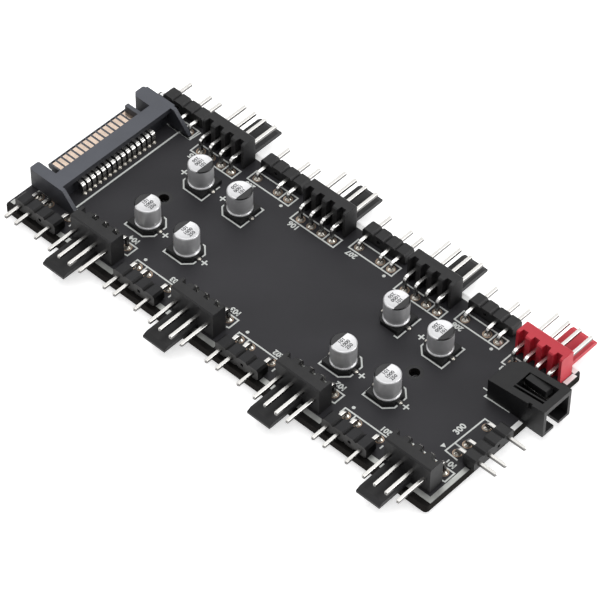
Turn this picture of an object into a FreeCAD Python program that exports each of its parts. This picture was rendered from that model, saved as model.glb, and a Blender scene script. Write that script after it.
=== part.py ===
import FreeCAD, Part
import math
import os
import Sketcher

# A fan and lighting hub board: one bare circuit board that carries a power inlet plug, pin headers
# along both long edges, a shrouded input socket and eight capacitors.
# Frame: X along the board, Y across it, Z up. The origin is on the axis of the left tooling hole,
# at the board's underside. All sizes are in millimetres.

os.makedirs("parts", exist_ok=True)
doc = FreeCAD.newDocument("fan_hub")
sheet = doc.addObject("Spreadsheet::Sheet", "Dim")

# Board
BOARD_SIZES = {
    "board_thick": 1.6,
    "board_left": 19.8,
    "board_right": 81.65,
    "board_front": 20.8,
    "board_back": 19.65,
    "board_corner": 0.8,
    "tooling_bore": 2.0,
    "tooling_spacing": 60.6,
    "hole_play": 0.05,
    "tail_length": 1.0,
}

# Headers: places along the board, rows and the square pins that all of them share
HEADER_SIZES = {
    "group_pitch": 25.0,
    "groups": 4,
    "back_shift": 0.42,
    "light_lead": 12.7,
    "fan_row": 13.1,
    "light_row": 15.2,
    "input_row_inset": 3.95,
    "input_centre": -4.6,
    "pin_pitch": 2.54,
    "pins_wide": 4,
    "pin_side": 0.64,
    "pin_fit": 0.01,
    "pin_bend": 0.45,
    "pin_tip": 0.18,
}

# Fan header: friction-lock housing with a tongue under the pins
FAN_SIZES = {
    "fan_gap": 1.95,
    "fan_depth": 3.18,
    "fan_tall": 6.0,
    "fan_pin_rise": 3.0,
    "fan_pin_reach": 12.0,
    "fan_slot_width": 1.1,
    "fan_slot_depth": 1.1,
    "fan_slot_mouth": 0.35,
    "fan_tongue_width": 5.25,
    "fan_tongue_shift": 1.4,
    "fan_tongue_reach": 13.3,
    "fan_tongue_low": 0.15,
    "fan_tongue_thick": 0.95,
    "fan_tongue_taper": 0.45,
    "fan_edge": 0.25,
}

# Light-strip header: four joined blocks, one place left without a pin
LIGHT_SIZES = {
    "light_gap": 2.2,
    "light_depth": 2.54,
    "light_tall": 2.54,
    "light_pin_reach": 8.55,
    "light_groove": 0.42,
}

# Power inlet plug
PLUG_SIZES = {
    "plug_rear": 12.0,
    "plug_depth": 3.3,
    "plug_tall": 4.6,
    "plug_front_side": 14.35,
    "plug_back_side": 14.85,
    "plug_reach": 19.8,
    "front_arm_thick": 2.35,
    "back_arm_thick": 2.95,
    "arm_low": 0.45,
    "arm_chamfer": 0.3,
    "back_arm_chamfer": 0.8,
    "ledge_width": 0.35,
    "ledge_low": 1.8,
    "ledge_setback": 0.6,
    "roof_thick": 1.1,
    "recess_depth": 1.0,
    "cheek_thick": 0.8,
    "cheek_flat": 0.75,
    "cheek_bevel": 0.38,
    "cheek_foot": 4.45,
    "cheek_foot_tall": 0.4,
    "tongue_low": 1.27,
    "tongue_top": 2.5,
    "tongue_front_end": 9.75,
    "tongue_back_end": 10.1,
    "tongue_chamfer": 0.3,
    "key_wall": 0.85,
    "key_setback": 0.7,
    "key_top": 3.95,
    "contact_pitch": 1.27,
    "contacts": 15,
    "contact_shift": -0.08,
    "contact_width": 0.85,
    "contact_thick": 0.25,
    "contact_setback": 0.4,
    "contact_bend": 0.55,
    "contact_row": 11.3,
    "contact_fit": 0.01,
    "contact_lift": 0.03,
}

# Shrouded input socket
SOCKET_SIZES = {
    "socket_mouth": 3.95,
    "socket_length": 12.4,
    "socket_front": 4.4,
    "socket_width": 7.2,
    "socket_rear_tall": 4.45,
    "socket_mouth_tall": 5.7,
    "socket_hang": 0.7,
    "socket_edge_gap": 0.35,
    "socket_wall": 0.7,
    "socket_back_wall": 0.62,
    "socket_corner": 1.9,
    "socket_floor_slot": 1.3,
    "window_mouth_wall": 1.6,
    "window_rear_margin": 0.3,
    "window_width": 3.6,
    "window_back_wall": 1.35,
    "rib_thick": 0.3,
    "side_slot": 0.5,
    "latch_gap": 1.6,
    "latch_width": 1.5,
    "latch_drop": 0.35,
    "socket_pins": 2,
    "socket_pin_rise": 2.5,
    "socket_pin_setback": 2.2,
    "socket_tail_inset": 2.6,
    "notch_length": 0.8,
    "notch_depth": 0.35,
}

# Capacitors
CAP_SIZES = {
    "cap_bore": 4.8,
    "cap_neck_bore": 4.56,
    "cap_neck_tall": 0.7,
    "cap_tall": 5.4,
    "cap_rim": 0.3,
    "cap_base_side": 5.3,
    "cap_base_tall": 0.85,
    "cap_base_chamfer": 1.3,
    "cap_seat": 0.25,
    "cap_lead_width": 0.7,
    "cap_lead_thick": 0.2,
    "cap_lead_reach": 3.05,
    "cap_lead_start": 0.9,
    "cap_lead_fit": 0.02,
    "cap_left_x": 2.4,
    "cap_left_step": 9.75,
    "cap_left_back_y": 7.2,
    "cap_left_front_y": -6.4,
    "cap_right_x": 50.2,
    "cap_right_step": 10.2,
    "cap_right_back_y": 6.85,
    "cap_right_front_y": -6.8,
}

SIZE_GROUPS = [BOARD_SIZES, HEADER_SIZES, FAN_SIZES, LIGHT_SIZES, PLUG_SIZES, SOCKET_SIZES, CAP_SIZES]


def fill_sheet():
    row = 0
    for group in SIZE_GROUPS:
        for alias, value in group.items():
            row += 1
            sheet.set(f"A{row}", alias)
            sheet.set(f"B{row}", str(value))
            sheet.setAlias(f"B{row}", alias)
    doc.recompute()


def number(text):
    return float(sheet.evalExpression(text.replace("Dim.", "")))


def new_body(name):
    return doc.addObject("PartDesign::Body", name)


def new_sketch(body, name, role):
    sketch = body.newObject("Sketcher::SketchObject", name)
    plane = [item for item in body.Origin.OriginFeatures if item.Role == role][0]
    sketch.AttachmentSupport = [(plane, "")]
    sketch.MapMode = "FlatFace"
    return sketch


def bind(sketch, kind, where, text):
    """Add one driven constraint whose value is an expression of the sheet."""
    index = sketch.addConstraint(Sketcher.Constraint(kind, *where, number(text)))
    sketch.setExpression(f"Constraints[{index}]", text)


def draw_loop(sketch, corners):
    """Draw a closed outline. A corner is (x, y), or (x, y, radius, turn) where the edge after it is
    an arc of that radius, turning left (1) or right (-1) as it is walked."""
    values = [(number(corner[0]), number(corner[1])) for corner in corners]
    first = sketch.GeometryCount
    count = len(corners)
    for index, corner in enumerate(corners):
        start = FreeCAD.Vector(*values[index], 0)
        end = FreeCAD.Vector(*values[(index + 1) % count], 0)
        if len(corner) == 2:
            sketch.addGeometry(Part.LineSegment(start, end), False)
            continue
        radius = number(corner[2])
        chord = end - start
        half = chord.Length / 2
        side = FreeCAD.Vector(-chord.y, chord.x, 0).normalize() * corner[3]
        centre = start + chord / 2 + side * math.sqrt(max(radius ** 2 - half ** 2, 0))
        middle = centre - side * radius
        sketch.addGeometry(Part.Arc(start, middle, end), False)
    for index, corner in enumerate(corners):
        before = first + (index - 1) % count
        here = first + index
        # An arc that turns right is stored from its end to its start.
        near = 2 if len(corner) == 4 and corner[3] < 0 else 1
        previous = corners[(index - 1) % count]
        far = 1 if len(previous) == 4 and previous[3] < 0 else 2
        sketch.addConstraint(Sketcher.Constraint("Coincident", before, far, here, near))
        bind(sketch, "DistanceX", (-1, 1, here, near), corner[0])
        bind(sketch, "DistanceY", (-1, 1, here, near), corner[1])
        if len(corner) == 4:
            bind(sketch, "Radius", (here,), corner[2])


def draw_box(sketch, low_x, high_x, low_y, high_y):
    draw_loop(sketch, [(low_x, low_y), (high_x, low_y), (high_x, high_y), (low_x, high_y)])


def draw_circle(sketch, x, y, diameter):
    centre = FreeCAD.Vector(number(x), number(y), 0)
    index = sketch.addGeometry(Part.Circle(centre, FreeCAD.Vector(0, 0, 1), number(diameter) / 2), False)
    bind(sketch, "DistanceX", (-1, 1, index, 3), x)
    bind(sketch, "DistanceY", (-1, 1, index, 3), y)
    bind(sketch, "Diameter", (index,), diameter)


def draw_octagon(sketch, x, y, across):
    """An even octagon about x, y, used where many small round shapes would repeat."""
    flat = f"({across}) / 2"
    point = f"({flat} * (sqrt(2) - 1))"
    draw_loop(sketch, [
        (f"{x} + {point}", f"{y} - {flat}"),
        (f"{x} + {flat}", f"{y} - {point}"),
        (f"{x} + {flat}", f"{y} + {point}"),
        (f"{x} + {point}", f"{y} + {flat}"),
        (f"{x} - {point}", f"{y} + {flat}"),
        (f"{x} - {flat}", f"{y} + {point}"),
        (f"{x} - {flat}", f"{y} - {point}"),
        (f"{x} - {point}", f"{y} - {flat}"),
    ])


def pad(body, sketch, name, length, offset="0", reverse=False):
    """Raise a sketch by a length, starting at an offset along its normal."""
    feature = body.newObject("PartDesign::Pad", name)
    feature.Profile = sketch
    feature.Reversed = reverse
    feature.setExpression("Length", length)
    if offset != "0":
        sketch.setExpression(".AttachmentOffset.Base.z", offset)
    return feature


def pad_middle(body, sketch, name, length):
    feature = body.newObject("PartDesign::Pad", name)
    feature.Profile = sketch
    feature.SideType = "Symmetric"
    feature.setExpression("Length", length)
    return feature


def pocket(body, sketch, name, length, offset="0", reverse=False):
    """Cut a sketch into the body along its normal or, reversed, against it, and test that it cut."""
    feature = body.newObject("PartDesign::Pocket", name)
    feature.Profile = sketch
    feature.Reversed = reverse
    feature.setExpression("Length", length)
    if offset != "0":
        sketch.setExpression(".AttachmentOffset.Base.z", offset)
    doc.recompute()
    before = feature.BaseFeature.Shape.Volume
    if not feature.Shape.Volume < before - 1e-6:
        raise RuntimeError(f"{body.Name}.{name} cuts nothing")
    return feature


def pattern(body, feature, name, sketch, axis, reach, count):
    """Repeat a feature along a sketch axis: reach is the whole length from first to last."""
    row = body.newObject("PartDesign::LinearPattern", name)
    row.Originals = [feature]
    row.Direction = (sketch, [axis])
    row.setExpression("Length", reach)
    row.setExpression("Occurrences", count)
    body.Tip = row
    return row


def place(item, x, y, z, turn=0):
    item.Placement = FreeCAD.Placement(FreeCAD.Vector(), FreeCAD.Rotation(FreeCAD.Vector(0, 0, 1), turn))
    for axis, text in (("x", x), ("y", y), ("z", z)):
        item.setExpression(f".Placement.Base.{axis}", text)


def instance(master, label, x, y, z, turn=0):
    """A placed copy of a master body, as a sub-part of its own."""
    copy = doc.addObject("Part::Compound", label)
    copy.Label = label
    copy.Links = [master]
    place(copy, x, y, z, turn)
    subparts.append(copy)


def own_part(item, label, x="0", y="0", z="0"):
    item.Label = label
    place(item, x, y, z)
    subparts.append(item)


fill_sheet()
subparts = []

BOARD_TOP = "Dim.board_thick"
HEADER_LENGTH = "Dim.pins_wide * Dim.pin_pitch"
FIRST_PIN = "(Dim.pins_wide - 1) / 2 * Dim.pin_pitch"
PIN_HOLE = "(Dim.pin_side * sqrt(2) + 2 * Dim.hole_play)"
PIN_SLOT = "(Dim.pin_side / 2 + Dim.pin_fit)"
# A bend is drawn as one flat at 45 degrees that touches its arc: this share of the radius is cut off
BEND_CUT = "(2 - sqrt(2))"
TAIL_END = "(Dim.board_thick + Dim.tail_length)"
LAST_GROUP = "(Dim.groups - 1) * Dim.group_pitch"
LIGHT_PINS = [0, 1, 3]


def plus_pitch(count):
    return f"(-{FIRST_PIN} + {count} * Dim.pin_pitch)"


# Fan header, in its own frame: the pad row lies along X through the origin, the pins point to -Y,
# and Z is zero at the board's top

def fan_housing_master():
    body = new_body("FanHousing")
    inner = "-Dim.fan_gap"
    outer = "-(Dim.fan_gap + Dim.fan_depth)"
    section = new_sketch(body, "FanSection", "YZ_Plane")
    draw_loop(section, [
        (inner, "0"),
        (inner, "Dim.fan_tall - Dim.fan_edge"),
        (f"{inner} - Dim.fan_edge", "Dim.fan_tall"),
        (f"{outer} + Dim.fan_edge", "Dim.fan_tall"),
        (outer, "Dim.fan_tall - Dim.fan_edge"),
        (outer, "0"),
    ])
    block = pad_middle(body, section, "FanBlock", HEADER_LENGTH)

    # One flared slot in the inner wall behind each pin, the full height of the wall
    slot = new_sketch(body, "FanSlot", "XY_Plane")
    half_floor = "Dim.fan_slot_width / 2"
    half_mouth = f"({half_floor} + Dim.fan_slot_mouth / 2)"
    draw_loop(slot, [
        (f"-{FIRST_PIN} - {half_mouth}", f"{inner} + Dim.pin_fit"),
        (f"-{FIRST_PIN} - {half_floor}", f"{inner} - Dim.fan_slot_depth"),
        (f"-{FIRST_PIN} + {half_floor}", f"{inner} - Dim.fan_slot_depth"),
        (f"-{FIRST_PIN} + {half_mouth}", f"{inner} + Dim.pin_fit"),
    ])
    slot_cut = pocket(body, slot, "FanSlotCut", "Dim.fan_tall", reverse=True)
    pattern(body, slot_cut, "FanSlots", slot, "H_Axis", f"{FIRST_PIN} * 2", "Dim.pins_wide")

    # A tight square passage for each pin
    passage = new_sketch(body, "FanPassage", "XZ_Plane")
    draw_box(passage, f"-{FIRST_PIN} - {PIN_SLOT}", f"-{FIRST_PIN} + {PIN_SLOT}",
             f"Dim.fan_pin_rise - {PIN_SLOT}", f"Dim.fan_pin_rise + {PIN_SLOT}")
    passage_cut = pocket(body, passage, "FanPassageCut", "Dim.fan_gap + Dim.fan_depth + 1", reverse=True)
    pattern(body, passage_cut, "FanPassages", passage, "H_Axis", f"{FIRST_PIN} * 2", "Dim.pins_wide")

    # The locking tongue, tapered at its tip so that a plug rides onto it
    tongue = new_sketch(body, "FanTongue", "YZ_Plane")
    top = "Dim.fan_tongue_low + Dim.fan_tongue_thick"
    draw_loop(tongue, [
        (f"{outer} + Dim.fan_edge", "Dim.fan_tongue_low"),
        (f"{outer} + Dim.fan_edge", top),
        ("-Dim.fan_tongue_reach + Dim.fan_tongue_taper * 2", top),
        ("-Dim.fan_tongue_reach", f"{top} - Dim.fan_tongue_taper"),
        ("-Dim.fan_tongue_reach", "Dim.fan_tongue_low"),
    ])
    tongue.setExpression(".AttachmentOffset.Base.z", "-Dim.fan_tongue_shift")
    pad_middle(body, tongue, "FanTonguePad", "Dim.fan_tongue_width")
    return body


def bent_pin_loop(rise, reach):
    """Side outline of one square pin: along -Y at its rise, bent down through the board."""
    half = "Dim.pin_side / 2"
    inner_cut = f"{BEND_CUT} * Dim.pin_bend"
    outer_cut = f"{BEND_CUT} * (Dim.pin_bend + Dim.pin_side)"
    low = f"{rise} - {half}"
    high = f"{rise} + {half}"
    return [
        (half, f"-{TAIL_END}"),
        (half, f"{high} - {outer_cut}"),
        (f"{half} - {outer_cut}", high),
        (f"-{reach} + Dim.pin_tip", high),
        (f"-{reach}", f"{high} - Dim.pin_tip"),
        (f"-{reach}", f"{low} + Dim.pin_tip"),
        (f"-{reach} + Dim.pin_tip", low),
        (f"-{half} - {inner_cut}", low),
        (f"-{half}", f"{low} - {inner_cut}"),
        (f"-{half}", f"-{TAIL_END}"),
    ]


def pin_group_master(name, rise, reach, places):
    """The bent pins of one header, each padded from the same outline at its own place."""
    body = new_body(name)
    for number_in_row, position in enumerate(places):
        outline = new_sketch(body, f"{name}Side{number_in_row + 1}", "YZ_Plane")
        draw_loop(outline, bent_pin_loop(rise, reach))
        outline.setExpression(".AttachmentOffset.Base.z", plus_pitch(position))
        pad_middle(body, outline, f"{name}Pin{number_in_row + 1}", "Dim.pin_side")
    return body


def light_housing_master():
    body = new_body("LightHousing")
    groove = "Dim.light_groove"
    half = "Dim.pin_pitch / 2"
    cell = new_sketch(body, "LightCell", "XZ_Plane")
    left = f"-{FIRST_PIN} - {half}"
    right = f"-{FIRST_PIN} + {half}"
    draw_loop(cell, [
        (f"{left} + {groove}", "0"),
        (f"{right} - {groove}", "0"),
        (right, groove),
        (right, f"Dim.light_tall - {groove}"),
        (f"{right} - {groove}", "Dim.light_tall"),
        (f"{left} + {groove}", "Dim.light_tall"),
        (left, f"Dim.light_tall - {groove}"),
        (left, groove),
    ])
    block = pad(body, cell, "LightBlock", "Dim.light_depth", "Dim.light_gap")
    pattern(body, block, "LightBlocks", cell, "H_Axis", f"{FIRST_PIN} * 2", "Dim.pins_wide")
    passage = new_sketch(body, "LightPassage", "XZ_Plane")
    rise = "Dim.light_tall / 2"
    draw_box(passage, f"-{FIRST_PIN} - {PIN_SLOT}", f"-{FIRST_PIN} + {PIN_SLOT}",
             f"{rise} - {PIN_SLOT}", f"{rise} + {PIN_SLOT}")
    passage_cut = pocket(body, passage, "LightPassageCut", "Dim.light_gap + Dim.light_depth + 1", reverse=True)
    pattern(body, passage_cut, "LightPassages", passage, "H_Axis", f"{FIRST_PIN} * 2", "Dim.pins_wide")
    return body


# Power inlet plug, in board places with Z zero at the board's top

def plug_housing():
    body = new_body("PlugHousing")
    front = "-(Dim.plug_rear + Dim.plug_depth)"
    rear = "-Dim.plug_rear"
    tip = "-Dim.plug_reach"
    side_low = "-Dim.plug_front_side"
    side_high = "Dim.plug_back_side"

    # Cross block, hollowed from behind under its roof
    block = new_sketch(body, "PlugBlock", "XY_Plane")
    draw_box(block, front, rear, side_low, side_high)
    pad(body, block, "PlugBlockPad", "Dim.plug_tall")
    recess = new_sketch(body, "PlugRecess", "XY_Plane")
    draw_box(recess, f"{rear} - Dim.recess_depth", f"{rear} + 1",
             f"{side_low} + Dim.cheek_thick", f"{side_high} - Dim.cheek_thick")
    pocket(body, recess, "PlugRecessCut", "Dim.plug_tall - Dim.roof_thick", reverse=True)

    # A thin cheek at each end, sloping down from the roof to a short upright foot
    foot = f"{rear} + Dim.cheek_foot"
    flat_end = f"{rear} + Dim.cheek_flat"
    for edge, offset in (("Front", "Dim.plug_front_side - Dim.cheek_thick"), ("Back", "-Dim.plug_back_side")):
        cheek = new_sketch(body, f"Plug{edge}Cheek", "XZ_Plane")
        draw_loop(cheek, [
            (front, "0"),
            (foot, "0"),
            (foot, "Dim.cheek_foot_tall"),
            (f"{flat_end} + Dim.cheek_bevel", "Dim.plug_tall - Dim.cheek_bevel"),
            (flat_end, "Dim.plug_tall"),
            (front, "Dim.plug_tall"),
        ])
        pad(body, cheek, f"Plug{edge}CheekPad", "Dim.cheek_thick", offset)

    # Guide arms, and the narrow ledge along the outside of the back one
    arms = new_sketch(body, "PlugArms", "XY_Plane")
    arm_in_low = f"{side_low} + Dim.front_arm_thick"
    arm_in_high = f"{side_high} - Dim.back_arm_thick"
    cut = "Dim.arm_chamfer"
    back_cut = "Dim.back_arm_chamfer"
    draw_loop(arms, [
        (front, side_low),
        (front, arm_in_low),
        (f"{tip} + {cut}", arm_in_low),
        (tip, f"{arm_in_low} - {cut}"),
        (tip, f"{side_low} + {cut}"),
        (f"{tip} + {cut}", side_low),
    ])
    draw_loop(arms, [
        (front, side_high),
        (front, arm_in_high),
        (f"{tip} + {back_cut}", arm_in_high),
        (tip, f"{arm_in_high} + {back_cut}"),
        (tip, f"{side_high} - {cut}"),
        (f"{tip} + {cut}", side_high),
    ])
    pad(body, arms, "PlugArmPads", "Dim.plug_tall - Dim.arm_low", "Dim.arm_low")
    ledge = new_sketch(body, "PlugLedge", "XY_Plane")
    draw_box(ledge, f"{tip} + Dim.ledge_setback", rear, side_high, f"{side_high} + Dim.ledge_width")
    pad(body, ledge, "PlugLedgePad", "Dim.plug_tall - Dim.ledge_low", "Dim.ledge_low")

    # Contact tongue with a chamfered mating edge, and the key wall along its far end
    tongue = new_sketch(body, "PlugTongue", "XZ_Plane")
    draw_loop(tongue, [
        (front, "Dim.tongue_low"),
        (front, "Dim.tongue_top"),
        (f"{tip} + Dim.tongue_chamfer", "Dim.tongue_top"),
        (tip, "Dim.tongue_top - Dim.tongue_chamfer"),
        (tip, "Dim.tongue_low + Dim.tongue_chamfer"),
        (f"{tip} + Dim.tongue_chamfer", "Dim.tongue_low"),
    ])
    pad(body, tongue, "PlugTonguePad", "Dim.tongue_front_end + Dim.tongue_back_end", "-Dim.tongue_back_end")
    key = new_sketch(body, "PlugKey", "XY_Plane")
    draw_box(key, f"{tip} + Dim.key_setback", front,
             "Dim.tongue_back_end - Dim.key_wall", "Dim.tongue_back_end")
    pad(body, key, "PlugKeyPad", "Dim.key_top - Dim.tongue_low", "Dim.tongue_low")

    # One channel for each contact, open on the tongue and passing through to the rear recess
    channel = new_sketch(body, "PlugChannel", "XY_Plane")
    first = "(Dim.contact_shift - (Dim.contacts - 1) / 2 * Dim.contact_pitch)"
    half = "(Dim.contact_width / 2 + Dim.contact_fit)"
    draw_box(channel, f"{tip} + Dim.contact_setback - Dim.contact_fit", f"{rear} + 0.5",
             f"{first} - {half}", f"{first} + {half}")
    channel_cut = pocket(body, channel, "PlugChannelCut", "Dim.contact_thick + 2 * Dim.contact_fit",
                         "Dim.tongue_top + Dim.contact_lift - Dim.contact_thick - Dim.contact_fit", reverse=True)
    pattern(body, channel_cut, "PlugChannels", channel, "V_Axis",
            "(Dim.contacts - 1) * Dim.contact_pitch", "Dim.contacts")
    return body


def plug_contacts():
    body = new_body("PlugContacts")
    top = "Dim.tongue_top + Dim.contact_lift"
    low = f"{top} - Dim.contact_thick"
    out = "-Dim.contact_row + Dim.contact_thick / 2"
    inner = "-Dim.contact_row - Dim.contact_thick / 2"
    tip = "-Dim.plug_reach + Dim.contact_setback"
    inner_cut = f"{BEND_CUT} * Dim.contact_bend"
    outer_cut = f"{BEND_CUT} * (Dim.contact_bend + Dim.contact_thick)"
    strip = new_sketch(body, "ContactSide", "XZ_Plane")
    draw_loop(strip, [
        (inner, f"-{TAIL_END}"),
        (out, f"-{TAIL_END}"),
        (out, f"{top} - {outer_cut}"),
        (f"{out} - {outer_cut}", top),
        (tip, top),
        (tip, low),
        (f"{inner} - {inner_cut}", low),
        (inner, f"{low} - {inner_cut}"),
    ])
    first = "(Dim.contact_shift - (Dim.contacts - 1) / 2 * Dim.contact_pitch)"
    one = pad(body, strip, "ContactStrip", "Dim.contact_width", f"-{first} - Dim.contact_width / 2")
    along = new_sketch(body, "ContactRow", "XY_Plane")
    draw_box(along, "0", "Dim.contact_width", "0", "Dim.contact_pitch")
    pattern(body, one, "ContactStrips", along, "V_Axis",
            "(Dim.contacts - 1) * Dim.contact_pitch", "Dim.contacts")
    return body


# Shrouded input socket, in board places with Z zero at the board's top

def socket_housing():
    body = new_body("SocketHousing")
    mouth = "(Dim.board_right + Dim.socket_mouth)"
    rear = f"({mouth} - Dim.socket_length)"
    low_y = "Dim.socket_front"
    high_y = "(Dim.socket_front + Dim.socket_width)"
    edge = "Dim.board_right + Dim.socket_edge_gap"
    section = new_sketch(body, "SocketSection", "XZ_Plane")
    draw_loop(section, [
        (rear, "0"),
        (edge, "0"),
        (edge, "-Dim.socket_hang"),
        (mouth, "-Dim.socket_hang"),
        (mouth, "Dim.socket_mouth_tall"),
        (rear, "Dim.socket_rear_tall"),
    ])
    pad(body, section, "SocketBlock", "Dim.socket_width", f"-{high_y}")

    corner = new_sketch(body, "SocketCorner", "XY_Plane")
    draw_loop(corner, [
        (f"{rear} - 1", f"{high_y} - Dim.socket_corner - 1"),
        (f"{rear} + Dim.socket_corner + 1", f"{high_y} + 1"),
        (f"{rear} - 1", f"{high_y} + 1"),
    ])
    pocket(body, corner, "SocketCornerCut", "Dim.socket_mouth_tall", reverse=True)

    # The cavity ends one thin wall before the channel of the tails
    cavity = new_sketch(body, "SocketCavity", "YZ_Plane")
    wall = "Dim.socket_wall"
    inset = f"(Dim.socket_tail_inset + {PIN_SLOT} + Dim.pin_bend)"
    cavity_end = f"({rear} + {inset} + Dim.socket_back_wall)"
    draw_box(cavity, f"{low_y} + {wall}", f"{high_y} - {wall}",
             f"-Dim.socket_hang + {wall}", f"Dim.socket_mouth_tall - {wall} - Dim.notch_depth")
    pocket(body, cavity, "SocketCavityCut", f"{mouth} - {cavity_end}", mouth)

    floor_slot = new_sketch(body, "SocketFloorSlot", "XY_Plane")
    middle = f"(Dim.socket_front + Dim.socket_width / 2)"
    draw_box(floor_slot, edge, f"{mouth} + 1",
             f"{middle} - Dim.socket_floor_slot / 2", f"{middle} + Dim.socket_floor_slot / 2")
    pocket(body, floor_slot, "SocketFloorSlotCut", f"{wall} + 0.5",
           f"-Dim.socket_hang - 0.5", reverse=True)

    # Roof window with a narrow slot beside it, parted by a thin rib
    window = new_sketch(body, "SocketWindow", "XY_Plane")
    win_high_x = f"({mouth} - Dim.window_mouth_wall)"
    win_low_x = f"({cavity_end} + Dim.window_rear_margin)"
    win_high_y = f"({high_y} - Dim.window_back_wall)"
    win_low_y = f"({win_high_y} - Dim.window_width)"
    draw_box(window, win_low_x, win_high_x, win_low_y, win_high_y)
    slot_high_y = f"({win_low_y} - Dim.rib_thick)"
    draw_box(window, win_low_x, win_high_x, f"{slot_high_y} - Dim.side_slot", slot_high_y)
    pocket(body, window, "SocketWindowCut", "Dim.socket_mouth_tall", "Dim.socket_pin_rise + Dim.pin_side",
           reverse=True)

    # Latch block standing in the window against its far side
    latch = new_sketch(body, "SocketLatch", "XY_Plane")
    draw_box(latch, f"{win_low_x} + Dim.rib_thick", f"{win_high_x} - Dim.latch_gap",
             f"{win_high_y} - Dim.latch_width", f"{win_high_y} + Dim.rib_thick")
    pad(body, latch, "SocketLatchPad", "Dim.latch_width",
        "Dim.socket_rear_tall - Dim.latch_width + Dim.latch_drop")

    # Small notch in the front top edge near the mouth
    notch = new_sketch(body, "SocketNotch", "XZ_Plane")
    notch_x = f"({mouth} - 2 * Dim.window_mouth_wall)"
    draw_box(notch, f"{notch_x} - Dim.notch_length / 2", f"{notch_x} + Dim.notch_length / 2",
             "Dim.socket_mouth_tall - 2 * Dim.socket_wall", "Dim.socket_mouth_tall")
    pocket(body, notch, "SocketNotchCut", "Dim.notch_depth", f"-{low_y} - Dim.notch_depth", reverse=True)

    # Passages that fit the pins, and the channel in which their tails go down
    passage = new_sketch(body, "SocketPassage", "YZ_Plane")
    first = f"({middle} - (Dim.socket_pins - 1) / 2 * Dim.pin_pitch)"
    draw_box(passage, f"{first} - {PIN_SLOT}", f"{first} + {PIN_SLOT}",
             "0 - Dim.pin_side", f"Dim.socket_pin_rise + {PIN_SLOT}")
    passage_cut = pocket(body, passage, "SocketPassageCut", f"{inset} + 1", f"{rear} + {inset}")
    pattern(body, passage_cut, "SocketPassages", passage, "H_Axis",
            "(Dim.socket_pins - 1) * Dim.pin_pitch", "Dim.socket_pins")
    bore = new_sketch(body, "SocketBore", "YZ_Plane")
    draw_box(bore, f"{first} - {PIN_SLOT}", f"{first} + {PIN_SLOT}",
             f"Dim.socket_pin_rise - {PIN_SLOT}", f"Dim.socket_pin_rise + {PIN_SLOT}")
    bore_cut = pocket(body, bore, "SocketBoreCut", "Dim.socket_length", f"{cavity_end} + 0.1")
    pattern(body, bore_cut, "SocketBores", bore, "H_Axis",
            "(Dim.socket_pins - 1) * Dim.pin_pitch", "Dim.socket_pins")
    return body


def socket_pins():
    body = new_body("SocketPins")
    reach = "(Dim.socket_length - Dim.socket_tail_inset - Dim.socket_pin_setback)"
    for index in range(int(number("Dim.socket_pins"))):
        outline = new_sketch(body, f"SocketPinSide{index + 1}", "YZ_Plane")
        draw_loop(outline, bent_pin_loop("Dim.socket_pin_rise", reach))
        outline.setExpression(".AttachmentOffset.Base.z",
                              f"({index} - (Dim.socket_pins - 1) / 2) * Dim.pin_pitch")
        pad_middle(body, outline, f"SocketPin{index + 1}", "Dim.pin_side")
    return body


# Capacitor, in its own frame: centre at the origin, plus side towards +X

def cap_can_master():
    body = new_body("CapCan")
    side = new_sketch(body, "CapSide", "XZ_Plane")
    seat = "(Dim.cap_base_tall - Dim.cap_seat)"
    neck_top = f"({seat} + Dim.cap_neck_tall)"
    neck = "Dim.cap_neck_bore / 2"
    radius = "Dim.cap_bore / 2"
    draw_loop(side, [
        ("0", seat),
        (neck, seat),
        (neck, neck_top),
        (radius, f"{neck_top} + {radius} - {neck}"),
        (radius, "Dim.cap_tall - Dim.cap_rim"),
        (f"{radius} - Dim.cap_rim", "Dim.cap_tall"),
        ("0", "Dim.cap_tall"),
    ])
    turn = body.newObject("PartDesign::Revolution", "CapTurn")
    turn.Profile = side
    turn.ReferenceAxis = (side, ["V_Axis"])
    turn.Angle = 360
    return body


def cap_base_master():
    body = new_body("CapBase")
    half = "Dim.cap_base_side / 2"
    cut = "Dim.cap_base_chamfer"
    plan = new_sketch(body, "BasePlan", "XY_Plane")
    draw_loop(plan, [
        (f"-{half}", f"-{half}"),
        (f"{half} - {cut}", f"-{half}"),
        (half, f"-{half} + {cut}"),
        (half, f"{half} - {cut}"),
        (f"{half} - {cut}", half),
        (f"-{half}", half),
    ])
    pad(body, plan, "BasePad", "Dim.cap_base_tall")
    seat = new_sketch(body, "BaseSeat", "XY_Plane")
    draw_octagon(seat, "0", "0", "Dim.cap_neck_bore + 2 * Dim.cap_lead_fit")
    pocket(body, seat, "BaseSeatCut", "Dim.cap_seat", "Dim.cap_base_tall - Dim.cap_seat", reverse=True)
    groove = new_sketch(body, "BaseGroove", "YZ_Plane")
    half_lead = "Dim.cap_lead_width / 2 + Dim.cap_lead_fit"
    draw_box(groove, f"-({half_lead})", half_lead, "0", "Dim.cap_lead_thick + Dim.cap_lead_fit")
    pocket(body, groove, "BaseGrooveCut", "Dim.cap_base_side", f"{half}")
    return body


def cap_places():
    """Centre and turn of each capacitor: the back ones have their plus side towards -X."""
    found = []
    for group in ("left", "right"):
        for row, turn in (("back", 180), ("front", 0)):
            for step in range(2):
                x = f"Dim.cap_{group}_x + {step} * Dim.cap_{group}_step"
                found.append((x, f"Dim.cap_{group}_{row}_y", turn))
    return found


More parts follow.
